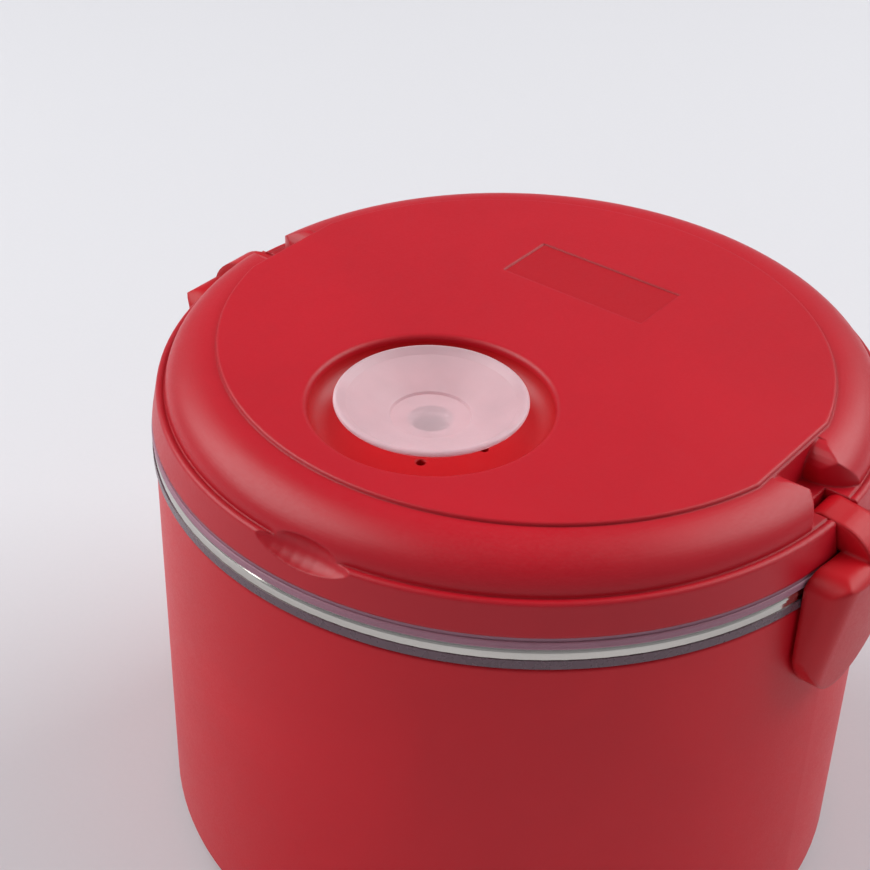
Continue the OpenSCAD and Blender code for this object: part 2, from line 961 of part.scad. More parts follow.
// Solid block behind the valley that carries the latch pin
module pin_block() {
    intersection() {
        translate([flat_x - 2.4, -pin_half - 1.5, band_bot_z + 2]) {
            cube([40, 2 * pin_half + 3, 40]);
        }
        lid_skin();
    }
}

// Wall behind the thumb notch
module notch_block() {
    half = notch_w / 2 + lid_wall;
    intersection() {
        translate([-half, -band_r, band_bot_z + 2]) {
            cube([2 * half, notch_depth + lid_wall, 40]);
        }
        lid_skin();
    }
}

// Recess round the vent: the hollow itself, or the cup that holds it
module recess(grow) {
    n = 10;
    wall_z = panel_z - recess_lip;
    low_r = recess_r - recess_sweep;
    cone = grow * 0.4;
    translate([0, -vent_y, 0]) {
        rotate_extrude() {
            polygon(concat(
                [[0, pocket_z - grow], [pocket_r + cone, pocket_z - grow],
                 [pocket_rim_r + cone, recess_floor_z - grow]],
                [for (i = [0 : n - 1])
                    [low_r + (recess_sweep + grow) * sin(90 * i / n),
                     wall_z - (wall_z - recess_floor_z + grow) * cos(90 * i / n)]],
                grow > 0 ? [[recess_r + grow, panel_z - 0.8], [0, panel_z - 0.8]]
                         : concat(arc(recess_r + recess_lip, wall_z, recess_lip, 180, 90, 5),
                                  [[recess_r + recess_lip, panel_z + 1], [0, panel_z + 1]])));
        }
    }
}

// Scoop in the top edge of the band, for a thumb
module thumb_notch() {
    half = notch_w / 2;
    big = (pow(half, 2) + pow(notch_depth, 2)) / (2 * notch_depth);
    a = asin(half / big);
    translate([0, -band_r + 0.6, ledge_z + 0.3]) {
        rotate([0, 90, 0]) {
            rotate_extrude() {
                polygon(arc(notch_depth - big, 0, big, -a, a, 12));
            }
        }
    }
}

module lid_cover() {
    color(RED) difference() {
        union() {
            difference() {
                union() {
                    lid_skin();
                    panel();
                }
                lid_hollow();
            }
            recess(2.2);
            translate([0, -vent_y, guide_bot_z]) {
                cylinder(h = pocket_z - guide_bot_z - 1, r = guide_r + 2.6);
            }
            at_angles([0, 180]) {
                pin_block();
            }
            at_angles([notch_angle]) {
                notch_block();
            }
        }
        recess(0);
        translate([0, -vent_y, 0]) {
            cylinder(h = far, r = guide_r);
            at_angles([for (i = [0 : steam_holes - 1]) i * 360 / steam_holes]) {
                translate([pocket_rim_r + 0.4 + steam_hole_d / 2, 0, 0]) {
                    cylinder(h = far, d = steam_hole_d, $fn = 32);
                }
            }
        }
        at_angles([0, 180]) {
            valley();
            latch_slot();
            latch_pin_hole();
        }
        at_angles([notch_angle]) {
            thumb_notch();
        }
        translate([-label_l / 2 - 2.5, vent_y - label_w / 2 - 1.4, panel_z - 0.3]) {
            cube([label_l, label_w, 2]);
        }
    }
}

// Bore that holds a latch pin at the right-hand side
module latch_pin_hole() {
    translate([pin_x, 0, pin_z]) {
        rotate([90, 0, 0]) {
            cylinder(h = 2 * pin_half, d = pin_d, center = true);
        }
    }
}

module latch_pin() {
    color(STEEL) translate([pin_x, 0, pin_z]) {
        rotate([90, 0, 0]) {
            cylinder(h = 2 * pin_half - 0.2, d = pin_d, center = true);
        }
    }
}

module latch_pin_right() {
    latch_pin();
}

module latch_pin_left() {
    rotate([0, 0, 180]) {
        latch_pin();
    }
}

module lid_liner() {
    plug_out_r = bowl_in_r - 1;
    plug_low_z = seat_z - 1;
    flange_r = crease_r + 0.1;
    color([0.9, 0.88, 0.86]) difference() {
        rotate_extrude() {
            polygon([[0, liner_bot_z], [plug_out_r - 4, liner_bot_z],
                     [plug_out_r - 1.8, liner_bot_z - 1.5], [plug_out_r - 1.8, plug_low_z],
                     [plug_out_r - 0.5, plug_low_z], [plug_out_r, plug_low_z + 1],
                     [plug_out_r, band_bot_z], [flange_r, band_bot_z],
                     [flange_r, band_bot_z + 1.8], [plug_out_r - 3, band_bot_z + 1.8],
                     [plug_out_r - 5, liner_top_z], [0, liner_top_z]]);
        }
        translate([0, -vent_y, 0]) {
            cylinder(h = far, r = seat_r);
        }
        at_angles([0, 180]) {
            translate([slot_x - 0.3, -valley_half - 0.3, 0]) {
                cube([20, 2 * valley_half + 0.6, far]);
            }
        }
    }
}

module lid_gasket() {
    in_r = bowl_in_r - 1;
    out_r = ring_r - 0.6;
    mid_z = gasket_bot_z + gasket_h / 2;
    color([0.72, 0.58, 0.64]) rotate_extrude() {
        polygon([[in_r, gasket_bot_z - 2.4], [in_r + 0.6, gasket_bot_z - 2.4],
                 [in_r + 0.6, gasket_bot_z], [out_r - 0.6, gasket_bot_z],
                 [out_r - 0.3, gasket_bot_z + 0.3], [out_r - 0.3, mid_z], [out_r, mid_z],
                 [out_r, band_bot_z], [in_r, band_bot_z]]);
    }
}

// ---- Latches ----

// How far the front of the latch plate stands from the axis at height z
function plate_out(z) =
    plate_top_r - (latch_top_z - z) * plate_slope;

// Outline of the plate seen from its front, drawn in the inset given
module plate_outline(inset) {
    h = latch_half + plate_slack - inset;
    corner = plate_corner + 1 - inset;
    mid_z = latch_tip_z + latch_half + plate_slack;
    top = latch_top_z - inset;
    translate([0, mid_z]) {
        circle(r = h);
    }
    translate([-h, mid_z]) {
        square([2 * h, top - corner - mid_z]);
    }
    translate([corner - h, mid_z]) {
        square([2 * (h - corner), top - mid_z]);
    }
    for (s = [-1, 1]) {
        translate([s * (h - corner), top - corner]) {
            circle(r = corner);
        }
    }
}

// Outline of the plate seen from above, with its front's middle at the origin
module plate_plan(inset) {
    h = latch_half - inset;
    corner = plate_corner - inset;
    front_r = plate_front_r - inset;
    side = h - corner;
    dip = front_r - sqrt(pow(front_r - corner, 2) - pow(side, 2)) - corner;
    a = asin(side / (front_r - corner));
    polygon(concat(
        arc(-inset - front_r, 0, front_r, -a, a, 8),
        arc(-inset - dip - corner, side, corner, a, 90, 6),
        [[-30, h], [-30, -h]],
        arc(-inset - dip - corner, -side, corner, -90, -a, 6)));
}

// Extrudes an outline in Y and Z along +X
module face_on() {
    rotate([90, 0, 90]) {
        linear_extrude(height = far) {
            children();
        }
    }
}

// Body of the plate: three outlines crossed, with the front leaning in below
module plate_body(inset) {
    top_round = 4 - inset;
    top = latch_top_z - inset;
    over = 1;
    intersection() {
        translate([plate_top_r, 0, latch_top_z]) {
            rotate([0, atan(plate_slope), 0]) {
                translate([0, 0, -far / 2]) {
                    linear_extrude(height = far) {
                        plate_plan(inset);
                    }
                }
            }
        }
        face_on() {
            plate_outline(inset);
        }
        across(-far, far) {
            polygon(concat(
                [[0, latch_tip_z - 10], [plate_top_r + over, latch_tip_z - 10]],
                [[plate_top_r + over, top - top_round - 2]],
                arc(plate_top_r - inset - top_round - 0.1, top - top_round, top_round, 12, 90, 6),
                [[0, top]]));
        }
    }
}

module latch() {
    skin_z = seat_z - 19;
    color(RED) difference() {
        union() {
            difference() {
                plate_body(0);
                cylinder(h = far, r = plate_in_r);
                intersection() {
                    plate_body(latch_wall);
                    translate([0, -far / 2, skin_z]) {
                        cube([far, far, far]);
                    }
                }
            }
            latch_hook();
            latch_arm();
        }
        translate([pin_x, 0, pin_z]) {
            rotate([90, 0, 0]) {
                cylinder(h = 40, r = pin_d / 2 + run_fit, center = true);
            }
        }
    }
}

// Hook block inside the plate, with its sloping top under the catch
module latch_hook() {
    out_r = plate_out(hook_z) - latch_wall / 2;
    intersection() {
        rotate_extrude() {
            polygon([[hook_r, hook_z], [hook_r, hook_z - 3], [hook_r + 1.6, hook_z - 4.8],
                     [out_r - 0.4, hook_z - 4.8], [out_r, hook_z + 2],
                     [hook_r + 2.4, hook_z + 2.4 * hook_slope]]);
        }
        translate([0, -hook_half, 0]) {
            cube([far, 2 * hook_half, far]);
        }
    }
}

// Arm from the hinge barrel out over the band to the plate
module latch_arm() {
    x1 = plate_in_r + 0.2;
    z1 = latch_top_z;
    across(-arm_half, arm_half) {
        translate([pin_x, pin_z]) {
            circle(r = boss_r);
        }
        polygon(concat(
            [[pin_x, pin_z - boss_r], [x1, pin_z - boss_r], [x1, z1 - 3],
             [x1 + 6.2, z1 - 3]],
            arc(x1 - 2.6, z1 - 4, 10.2, 18, 90, 8),
            [[pin_x, pin_z + boss_r]]));
    }
}

module latch_right() {
    latch();
}

module latch_left() {
    rotate([0, 0, 180]) {
        latch();
    }
}

// ---- Vent ----

module vent_button() {
    rim = vent_lip_t / 2;
    under_z = vent_top_z - dish_drop - dish_t;
    neck_z = liner_top_z + 2;
    low_z = liner_bot_z - rest_gap - plug_t - 0.8;
    color([0.92, 0.85, 0.87, 0.8]) translate([0, -vent_y, 0]) {
        rotate_extrude() {
            polygon(concat(
                [[0, low_z], [neck_r + 0.2, low_z], [neck_r + 0.5, low_z + 0.8],
                 [neck_r, low_z + 0.8], [neck_r, neck_z - 0.6], [neck_r + 0.6, neck_z],
                 [stem_r, neck_z], [stem_r, groove_z - 0.8], [stem_r - 0.9, groove_z - 0.8],
                 [stem_r - 0.9, groove_z + 0.8], [stem_r, groove_z + 0.8],
                 [stem_r, under_z], [dish_r + 0.3, under_z + 0.2]],
                arc(vent_r - rim, vent_top_z - rim, rim, -80, 110, 8),
                [[vent_r - 1.6, vent_top_z - 0.4], [vent_r - 2.6, vent_top_z - 1.2],
                 [dish_r + 0.3, vent_top_z - dish_drop + 0.6], [dish_r, vent_top_z - dish_drop],
                 [0, vent_top_z - dish_drop]]));
        }
    }
}

module vent_o_ring() {
    cord = 0.75;
    color([0.2, 0.2, 0.2]) translate([0, -vent_y, groove_z]) {
        rotate_extrude() {
            translate([stem_r + 0.03 - cord / 1, 0]) {
                intersection() {
                    circle(r = cord, $fn = 32);
                    translate([-cord + 0.63, -cord]) {
                        square([2 * cord, 2 * cord]);
                    }
                }
            }
        }
    }
}

module vent_plug() {
    top_z = liner_bot_z - rest_gap;
    color([0.85, 0.82, 0.82]) translate([0, -vent_y, 0]) {
        rotate_extrude() {
            polygon([[neck_r, top_z - plug_t], [neck_r + 2.2, top_z - plug_t],
                     [plug_r - 1, top_z - 1.8], [plug_r, top_z - 1.4],
                     [plug_r, top_z - 0.3], [plug_r - 0.4, top_z], [neck_r, top_z]]);
        }
    }
}

housing();
base_cover();
base_screws();
feet();
well();
heat_plate();
heater_element();
element_clamp();
clamp_nut();
thermostat();
thermal_fuse();
fuse_clip();
heat_shield();
shield_nuts();
inlet_socket();
inlet_pins();
inlet_screws();
earth_tag();
wire_live();
wire_link();
wire_heater();
wire_neutral();
pilot_lens();
pilot_lamp();
bowl();
bowl_ring();
lid_cover();
lid_liner();
lid_gasket();
latch_pin_right();
latch_pin_left();
latch_right();
latch_left();
vent_button();
vent_o_ring();
vent_plug();
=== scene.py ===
"""Electric lunch box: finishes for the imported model, and a plain studio stage."""

import math

import bpy
from mathutils import Matrix, Vector


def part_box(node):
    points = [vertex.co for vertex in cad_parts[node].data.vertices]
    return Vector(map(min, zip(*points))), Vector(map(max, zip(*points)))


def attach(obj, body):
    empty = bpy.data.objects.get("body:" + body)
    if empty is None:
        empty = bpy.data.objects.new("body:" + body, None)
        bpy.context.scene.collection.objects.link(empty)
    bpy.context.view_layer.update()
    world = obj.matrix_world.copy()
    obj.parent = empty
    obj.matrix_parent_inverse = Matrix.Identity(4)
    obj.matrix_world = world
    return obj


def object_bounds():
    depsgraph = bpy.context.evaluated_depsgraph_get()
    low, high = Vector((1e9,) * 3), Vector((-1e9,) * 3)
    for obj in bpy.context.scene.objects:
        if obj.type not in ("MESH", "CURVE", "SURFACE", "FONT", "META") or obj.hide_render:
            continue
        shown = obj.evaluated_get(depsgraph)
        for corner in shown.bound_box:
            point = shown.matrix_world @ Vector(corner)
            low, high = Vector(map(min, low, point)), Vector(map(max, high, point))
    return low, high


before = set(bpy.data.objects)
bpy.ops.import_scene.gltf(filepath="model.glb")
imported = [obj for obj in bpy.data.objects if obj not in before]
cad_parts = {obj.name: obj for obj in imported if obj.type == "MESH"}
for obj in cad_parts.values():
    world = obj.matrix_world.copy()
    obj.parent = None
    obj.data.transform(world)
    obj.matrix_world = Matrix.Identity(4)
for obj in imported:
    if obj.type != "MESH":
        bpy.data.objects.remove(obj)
CAD_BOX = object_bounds()

bl_info = {
    "name": "Electric Lunch Box",
    "version": (1, 0, 0),
    "blender": (4, 5, 0),
    "location": "View3D > Sidebar > Lunch Box",
    "description": "Finishes a round heated lunch box and sets up its studio stage",
    "category": "Object",
}

MM = 0.001

LID_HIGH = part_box("lid_cover")[1]
VENT_LOW, VENT_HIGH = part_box("vent_button")
GASKET_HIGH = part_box("lid_gasket")[1]

# Bare label recess: its corners on the panel, and its depths under the top of the lid, in mm
LABEL_LOW = (-22, 23.2)
LABEL_HIGH = (17, 40)
LABEL_DEPTHS = (0.9, 0.1)
# Vent recess, where the lid's red is painted darker as shade: how far it reaches from the middle
# of the button, and its depths, in mm
RECESS_REACH = 28
RECESS_DEPTHS = (12, 1.6)
# Section of the soft lip that hangs from the gasket over the shoulder of the steel rim, as
# corners outwards from the gasket's side and upwards from its top, in mm
LIP_SECTION = (
    (-0.1, -1.1),
    (0.25, -1.1),
    (0.44, -1.4),
    (0.52, -1.9),
    (0.45, -2.1),
    (0.56, -2.3),
    (0.54, -2.6),
    (0.42, -2.8),
    (0.25, -2.85),
    (0.1, -2.75),
    (-0.05, -2.5),
    (-0.15, -1.9),
)

# Softboxes, in metres: how far they stand to the right of the object, behind it and above
# the floor, as the camera faces it, and their width and height
LEFT_PLACE = (-1.07, 0.25, 1.08)
LEFT_SIZE = (1.35, 1.2)
RIGHT_PLACE = (1.06, 0.34, 1.06)
RIGHT_SIZE = (1.3, 1.15)
# Round floor with its wall, in metres
COVE_RADIUS = 2.6
COVE_HEIGHT = 2.4
COVE_BEND = 0.9
# Camera: the width of its sensor in mm, and the nearest distance that it sees in metres
SENSOR_WIDTH = 36.0
NEAREST_SEEN = 0.01

# Most heights of a noise lie between these two
NOISE_LOW, NOISE_HIGH = 0.3, 0.7
# Sockets of a Mix node that mixes colours: its two inputs and its output
FIRST, SECOND, MIXED = 6, 7, 2


def linear(code):
    """Turns an sRGB hex colour into the linear RGB that Blender's colours use."""
    channels = [int(code[i : i + 2], 16) / 255 for i in (1, 3, 5)]
    return tuple(
        c / 12.92 if c <= 0.04045 else ((c + 0.055) / 1.055) ** 2.4 for c in channels
    )


# ---------------------------------------------------------------- settings


def colour(name, description, code):
    """A colour setting with its default as an sRGB hex value."""
    return bpy.props.FloatVectorProperty(
        name=name,
        description=description,
        subtype="COLOR",
        size=3,
        min=0.0,
        max=1.0,
        default=linear(code),
    )


def length(name, description, millimetres):
    """A length setting with its default in millimetres."""
    return bpy.props.FloatProperty(
        name=name,
        description=description,
        unit="LENGTH",
        min=0.0,
        precision=5,
        default=millimetres * MM,
    )


class LunchBoxFinish(bpy.types.PropertyGroup):
    """Colours and grain sizes of the object's own materials, and a darker red painted as shade in
    the vent recess.
    """

    lid_red: colour("Lid red", "Polypropylene of the lid", "#BA0D20")
    body_red: colour("Body red", "Polypropylene of the housing and base", "#CA0D1F")
    latch_red: colour("Latch red", "Polypropylene of the latches", "#BE0B1A")
    label_red: colour("Label recess red", "Shallow bare recess of the label", "#B2081A")
    recess_painted_shade: colour("Vent recess painted shade", "Darker red painted as shade in the steam vent recess", "#AE0812")
    smoke: colour("Smoky ring", "Tinted polypropylene of the bowl ring", "#6E545E")
    gasket: colour("Gasket", "Translucent silicone of the lid seal", "#A07080")
    vent: colour("Vent", "Milky silicone of the vent button", "#D8BCC2")
    steel: colour("Steel", "Polished stainless steel of the bowl", "#C9C5BE")
    aluminium: colour("Aluminium", "Drawn and cast aluminium", "#C4C5C6")
    black: colour("Inlet black", "Moulded nylon of the inlet", "#1B1B1C")
    lamp: colour("Lamp amber", "Lens of the pilot lamp", "#E0701C")
    # Real mould grain and polishing lines are near 0.1 mm wide, which is too fine to show.
    # They are drawn as coarse as they need to be to break up the reflections.
    lid_grain: length("Lid grain", "Width of one grain of the moulded lid", 0.7)
    body_grain: length("Body grain", "Width of one grain of the housing", 0.5)
    brush: length("Brush lines", "Spacing of polishing lines on the metal", 0.35)


class LunchBoxStage(bpy.types.PropertyGroup):
    """Camera, lamps and floor."""

    eye: bpy.props.FloatVectorProperty(
        name="Camera place",
        description="Where the camera stands",
        subtype="TRANSLATION",
        unit="LENGTH",
        size=3,
        default=(0.2022, -0.2985, 0.3508),
    )
    heading: bpy.props.FloatProperty(
        name="Heading",
        description="Camera turn about the vertical",
        subtype="ANGLE",
        default=math.radians(40.25),
    )
    pitch: bpy.props.FloatProperty(
        name="Pitch",
        description="How far the camera looks down",
        subtype="ANGLE",
        default=math.radians(34.57),
    )
    roll: bpy.props.FloatProperty(
        name="Roll",
        description="Camera turn about its own view",
        subtype="ANGLE",
        default=math.radians(-0.13),
    )
    lens: bpy.props.FloatProperty(
        name="Lens",
        description="Focal length on a 36 mm sensor, in millimetres",
        subtype="DISTANCE_CAMERA",
        default=76.92,
    )
    shift: bpy.props.FloatVectorProperty(
        name="Shift",
        description="Sideways and upward lens shift, in picture widths",
        size=2,
        default=(0.0963, -0.0031),
    )
    floor: colour("Floor", "Colour of the floor and backdrop", "#D6D6DA")
    sky: bpy.props.FloatProperty(
        name="Fill light",
        description="Strength of the even light from all round",
        min=0.0,
        default=0.25,
    )
    dark: bpy.props.FloatProperty(
        name="Dark room",
        description="Strength of the surroundings as they show in reflections",
        min=0.0,
        default=0.04,
    )
    left: bpy.props.FloatProperty(
        name="Left light",
        description="Power of the softbox on the left",
        subtype="POWER",
        unit="POWER",
        min=0.0,
        default=19.5,
    )
    right: bpy.props.FloatProperty(
        name="Right light",
        description="Power of the softbox on the right",
        subtype="POWER",
        unit="POWER",
        min=0.0,
        default=17.5,
    )


# ---------------------------------------------------------------- shader tools


def add(tree, kind, inputs=None, **settings):
    """Adds a node, with its settings, and with its inputs as values or as links from sockets."""
    node = tree.nodes.new(kind)
    for name, value in settings.items():
        setattr(node, name, value)
    for socket, value in (inputs or {}).items():
        if isinstance(value, bpy.types.NodeSocket):
            tree.links.new(value, node.inputs[socket])
        else:
            node.inputs[socket].default_value = value
    return node


def start_material(name):
    """Starts a material and returns its node tree and the place on the object, in metres."""
    material = bpy.data.materials.new(name)
    material.use_nodes = True
    material.node_tree.nodes.clear()
    place = add(material.node_tree, "ShaderNodeTexCoord").outputs["Object"]
    return material, material.node_tree, place


def end_material(material, shader_inputs):
    """Ends a material with its Principled shader."""
    tree = material.node_tree
    shader = add(tree, "ShaderNodeBsdfPrincipled", shader_inputs)
    add(tree, "ShaderNodeOutputMaterial", {"Surface": shader.outputs["BSDF"]})
    return material


def shade(rgb, factor=1.0):
    """A colour made lighter or darker, as a colour socket takes it."""
    return (*(min(1.0, c * factor) for c in rgb), 1.0)


def patches(tree, place, width, *ranges, detail=2.0, distortion=0.0):
    """Uneven patches about as wide as the given length in metres. Returns their height, and
    for each (low, high) range a value that runs through it with the height."""
    height = add(
        tree,
        "ShaderNodeTexNoise",
        {"Vector": place, "Scale": 1.0 / width, "Detail": detail, "Distortion": distortion},
    ).outputs["Fac"]
    values = [
        add(
            tree,
            "ShaderNodeMapRange",
            {
                "Value": height,
                "From Min": NOISE_LOW,
                "From Max": NOISE_HIGH,
                "To Min": low,
                "To Max": high,
            },
        ).outputs["Result"]
        for low, high in ranges
    ]
    return height, *values


def mottled(tree, place, width, first, second, most=1.0, detail=2.0, distortion=0.0):
    """A base colour that drifts from one colour to another in uneven patches, with at most
    the given amount of the second one."""
    drift = patches(tree, place, width, (0.0, most), detail=detail, distortion=distortion)[1]
    tones = {"Factor": drift, FIRST: first, SECOND: second}
    return add(tree, "ShaderNodeMix", tones, data_type="RGBA").outputs[MIXED]


def inside_box(tree, place, low, high):
    """1 inside a box of the object's frame, and 0 outside it."""
    parts = add(tree, "ShaderNodeSeparateXYZ", {"Vector": place})
    result = None
    for axis in range(3):
        middle = (low[axis] + high[axis]) / 2
        half = (high[axis] - low[axis]) / 2
        within = add(
            tree,
            "ShaderNodeMath",
            {0: parts.outputs[axis], 1: middle, 2: half},
            operation="COMPARE",
        ).outputs[0]
        if result is None:
            result = within
        else:
            result = add(
                tree, "ShaderNodeMath", {0: result, 1: within}, operation="MULTIPLY"
            ).outputs[0]
    return result


# ---------------------------------------------------------------- materials


def moulded_polypropylene(
    name, rgb, grain, roughness=0.38, depth=0.012 * MM, edge=0.8 * MM, level=0.45, spots=()
):
    """Injection-moulded polypropylene. The spark-eroded mould leaves a fine grain that
    breaks up the gloss into a satin sheen, the colour clouds a little with the flow, and
    every edge has a small radius that catches the light. Each spot is a box with a red of
    its own or with a darker red painted as shade, as its low corner, high corner and colour."""
    material, tree, place = start_material(name)
    base = mottled(
        tree, place, 45 * MM, shade(rgb, 0.95), shade(rgb, 1.04), detail=3.0, distortion=0.6
    )
    for low, high, spot_rgb in spots:
        inside = inside_box(tree, place, low, high)
        tones = {"Factor": inside, FIRST: base, SECOND: shade(spot_rgb)}
        base = add(tree, "ShaderNodeMix", tones, data_type="RGBA").outputs[MIXED]
    satin = (roughness - 0.03, roughness + 0.05)
    grains, sheen = patches(tree, place, grain, satin)
    scuffs = patches(tree, place, 6 * MM, (0.0, 0.03), detail=4.0, distortion=1.5)[1]
    gloss = add(tree, "ShaderNodeMath", {0: sheen, 1: scuffs}, operation="ADD")
    rounded = add(tree, "ShaderNodeBevel", {"Radius": edge}, samples=6).outputs["Normal"]
    relief = {"Height": grains, "Distance": depth, "Normal": rounded}
    return end_material(
        material,
        {
            "Base Color": base,
            "Roughness": gloss.outputs[0],
            "IOR": 1.49,
            "Specular IOR Level": level,
            "Subsurface Weight": 0.06,
            "Subsurface Radius": (0.9, 0.25, 0.2),
            "Subsurface Scale": 1.0 * MM,
            "Normal": add(tree, "ShaderNodeBump", relief).outputs["Normal"],
        },
    )


def ring_place(tree, place, radian):
    """The place on the object as (radius, turn, height), where a radian of turn counts as the
    given short length, so that marks run round the axis."""
    parts = add(tree, "ShaderNodeSeparateXYZ", {"Vector": place})
    flat = add(tree, "ShaderNodeCombineXYZ", {"X": parts.outputs["X"], "Y": parts.outputs["Y"]})
    radius = add(
        tree, "ShaderNodeVectorMath", {0: flat.outputs[0]}, operation="LENGTH"
    ).outputs["Value"]
    angle = add(
        tree,
        "ShaderNodeMath",
        {0: parts.outputs["Y"], 1: parts.outputs["X"]},
        operation="ARCTAN2",
    ).outputs[0]
    turn = add(
        tree, "ShaderNodeMath", {0: angle, 1: radian}, operation="MULTIPLY"
    ).outputs[0]
    return add(
        tree,
        "ShaderNodeCombineXYZ",
        {"X": radius, "Y": turn, "Z": parts.outputs["Z"]},
    ).outputs[0]


def spun_metal(name, rgb, line, roughness, depth=0.004 * MM, tint=None):
    """Metal sheet or casting that was turned or polished on a lathe: fine lines round the
    axis break up each reflection, and faint stains vary the tone."""
    material, tree, place = start_material(name)
    rings = ring_place(tree, place, 4 * MM)
    polish = (roughness * 0.75, roughness * 1.3)
    lines, gloss = patches(tree, rings, line, polish, detail=3.0)
    stain = shade(tint) if tint else shade(rgb, 0.86)
    base = mottled(tree, place, 22 * MM, shade(rgb), stain, 0.5, detail=4.0, distortion=0.8)
    relief = {"Height": lines, "Distance": depth, "Strength": 0.5}
    return end_material(
        material,
        {
            "Base Color": base,
            "Metallic": 1.0,
            "Roughness": gloss,
            "Normal": add(tree, "ShaderNodeBump", relief).outputs["Normal"],
        },
    )


def rolled_metal(name, rgb, roughness, spangle=4 * MM):
    """Rolled or plated sheet and small turned hardware: a soft sheen with faint patches."""
    material, tree, place = start_material(name)
    polish = (roughness * 0.8, roughness * 1.25)
    _, tone, gloss = patches(
        tree, place, spangle, (0.0, 1.0), polish, detail=3.0, distortion=0.4
    )
    tones = {"Factor": tone, FIRST: shade(rgb, 0.82), SECOND: shade(rgb, 1.05)}
    streaks = patches(tree, place, 0.6 * MM)[0]
    relief = {"Height": streaks, "Distance": 0.006 * MM, "Strength": 0.6}
    return end_material(
        material,
        {
            "Base Color": add(tree, "ShaderNodeMix", tones, data_type="RGBA").outputs[MIXED],
            "Metallic": 1.0,
            "Roughness": gloss,
            "Normal": add(tree, "ShaderNodeBump", relief).outputs["Normal"],
        },
    )


def silicone(name, rgb, cloudiness, roughness, through=0.0):
    """Moulded silicone rubber: soft translucent body, waxy sheen and a faint dusty bloom.
    Real dust is finer, and is drawn half a millimetre wide so that it shows."""
    material, tree, place = start_material(name)
    waxy = (roughness - 0.04, roughness + 0.06)
    dust, gloss = patches(tree, place, 0.5 * MM, waxy)
    relief = {"Height": dust, "Distance": 0.01 * MM}
    return end_material(
        material,
        {
            "Base Color": mottled(
                tree, place, 9 * MM, shade(rgb, 0.94), shade(rgb, 1.03), detail=3.0
            ),
            "Roughness": gloss,
            "IOR": 1.41,
            "Transmission Weight": through,
            "Subsurface Weight": cloudiness,
            "Subsurface Radius": (1.0, 0.8, 0.8),
            "Subsurface Scale": 2.5 * MM,
            "Normal": add(tree, "ShaderNodeBump", relief).outputs["Normal"],
        },
    )


def moulded_resin(name, rgb, grain=0.4 * MM, roughness=0.5, ior=1.53):
    """Nylon, phenolic, undyed polypropylene, rubber and wire insulation: opaque, with a fine
    matt mould grain."""
    material, tree, place = start_material(name)
    matt = (roughness - 0.06, roughness + 0.08)
    grains, gloss = patches(tree, place, grain, matt)
    relief = {"Height": grains, "Distance": 0.015 * MM}
    return end_material(
        material,
        {
            "Base Color": mottled(tree, place, 12 * MM, shade(rgb, 0.85), shade(rgb, 1.2)),
            "Roughness": gloss,
            "IOR": ior,
            "Normal": add(tree, "ShaderNodeBump", relief).outputs["Normal"],
        },
    )


def clear_plastic(name, rgb, through, roughness):
    """Clear tinted plastic and lamp glass: light passes, with slight flow marks."""
    material, tree, place = start_material(name)
    polish = (roughness * 0.8, roughness * 1.2)
    marks, tone, gloss = patches(tree, place, 2.5 * MM, (0.0, 1.0), polish)
    tones = {"Factor": tone, FIRST: shade(rgb, 0.93), SECOND: shade(rgb, 1.04)}
    relief = {"Height": marks, "Distance": 0.02 * MM, "Strength": 0.1}
    return end_material(
        material,
        {
            "Base Color": add(tree, "ShaderNodeMix", tones, data_type="RGBA").outputs[MIXED],
            "Roughness": gloss,
            "IOR": 1.49,
            "Transmission Weight": through,
            "Normal": add(tree, "ShaderNodeBump", relief).outputs["Normal"],
        },
    )


def background_paper(name, rgb):
    """Matt background paper: even, with a very faint tooth."""
    material, tree, place = start_material(name)
    tooth = mottled(tree, place, 1.5 * MM, shade(rgb, 0.99), shade(rgb))
    return end_material(material, {"Base Color": tooth, "Roughness": 0.9, "IOR": 1.45})


# ---------------------------------------------------------------- shapes and slots


def turned_ring(name, section, steps=240):
    """A ring whose section, as (radius, height) corners in millimetres, runs round the axis."""
    count = len(section)
    points = [
        (r * MM * math.cos(turn), r * MM * math.sin(turn), z * MM)
        for turn in (2 * math.pi * step / steps for step in range(steps))
        for r, z in section
    ]
    faces = [
        (
            step * count + corner,
            (step + 1) % steps * count + corner,
            (step + 1) % steps * count + (corner + 1) % count,
            step * count + (corner + 1) % count,
        )
        for step in range(steps)
        for corner in range(count)
    ]
    mesh = bpy.data.meshes.new(name)
    mesh.from_pydata(points, [], faces)
    mesh.polygons.foreach_set("use_smooth", [True] * len(faces))
    ring = bpy.data.objects.new(name, mesh)
    bpy.context.scene.collection.objects.link(ring)
    return ring


def give(material, *nodes):
    """Puts a material on every slot of the named CAD nodes."""
    for name in nodes:
        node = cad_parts[name]
        if not node.material_slots:
            node.data.materials.append(material)
        for slot in node.material_slots:
            slot.material = material


# ---------------------------------------------------------------- pieces


